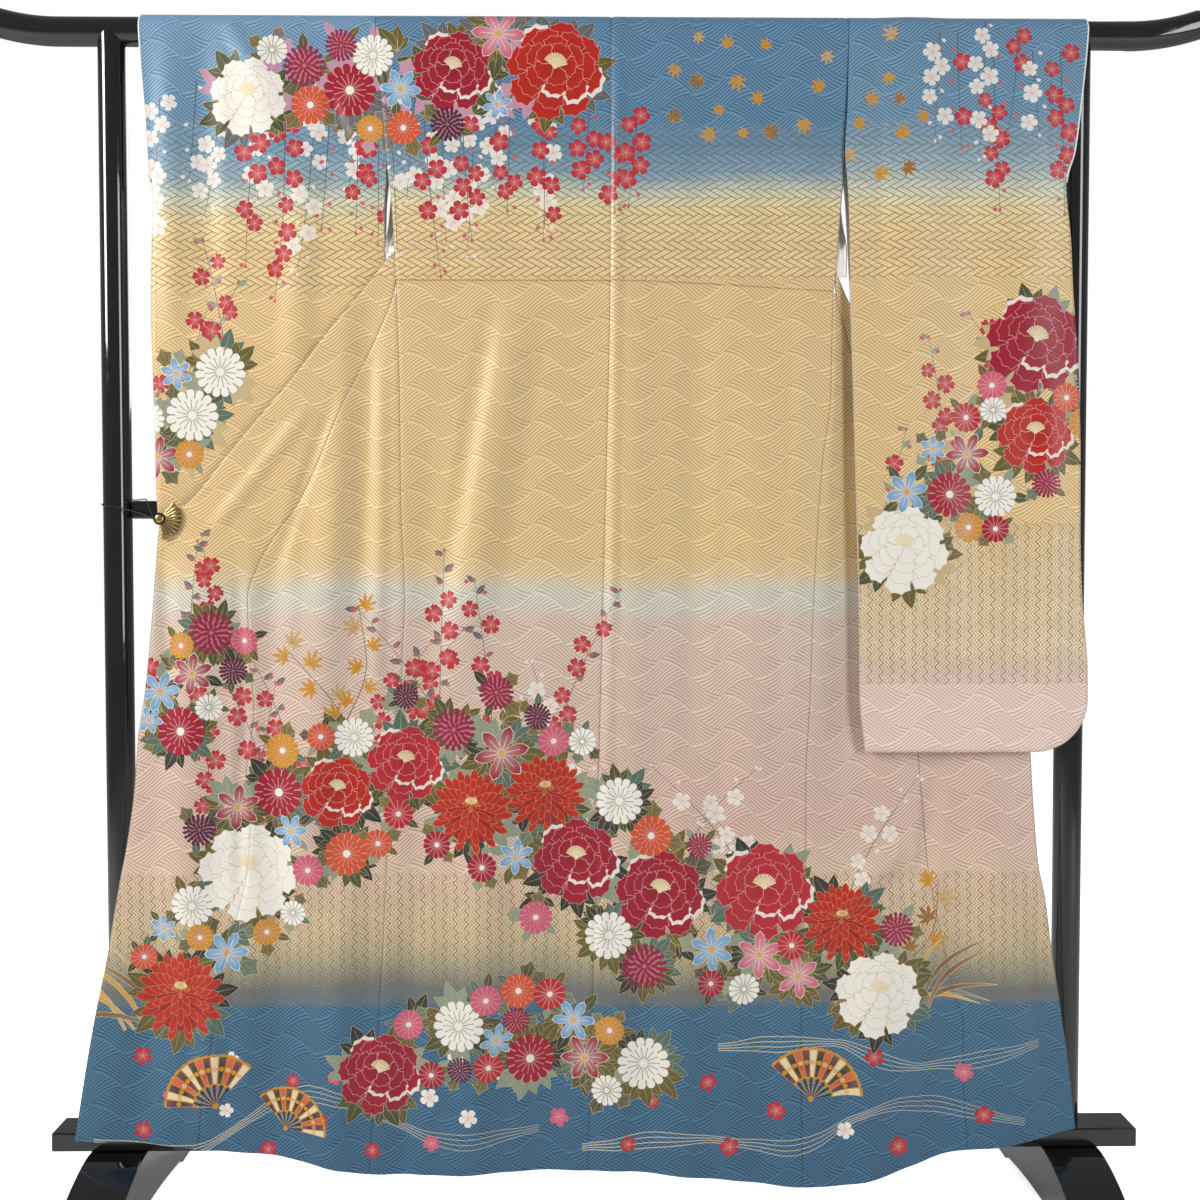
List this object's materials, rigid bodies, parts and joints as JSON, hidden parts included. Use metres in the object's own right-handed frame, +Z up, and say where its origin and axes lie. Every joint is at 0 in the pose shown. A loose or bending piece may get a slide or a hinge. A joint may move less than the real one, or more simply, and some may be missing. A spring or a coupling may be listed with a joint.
{
  "type": "furisode kimono on a kimono rack",
  "caption": "Long-sleeved silk kimono hung over the bar of a lacquered rack, its back to the viewer and both front panels opened out to the sides.",
  "frame": {"origin": "on the floor under the middle of the rack", "axes": "+Z up, +X to the right of a viewer who faces the kimono's back, +Y away from that viewer"},
  "size_m": [1.7, 0.34, 1.6947],
  "materials": {
    "silk": "figured silk damask, dyed in soft bands, satin sheen",
    "silk_lining": "plain white silk lining",
    "lacquer": "black lacquer, high gloss",
    "old_brass": "antique, darkened in its grooves",
    "elastic": "matt black covered elastic"
  },
  "bodies": {
    "root": {"back_left_upper": "silk", "back_right_upper": "silk", "back_left": "silk", "back_right": "silk", "front_left": "silk", "front_right": "silk", "okumi_left": "silk", "okumi_right": "silk", "front_left_upper": "silk", "front_right_upper": "silk", "collar": "silk_lining", "sleeve_left": "silk", "sleeve_right": "silk", "cuff_edge_left": "silk_lining", "cuff_edge_right": "silk_lining", "top_bar": "lacquer", "post_left": "lacquer", "post_right": "lacquer", "mid_rail": "lacquer", "lower_board": "lacquer", "foot_left": "lacquer", "foot_right": "lacquer", "fan_clip": "old_brass", "clip_boss": "old_brass", "clip_elastic": "elastic"}
  },
  "joints": []
}
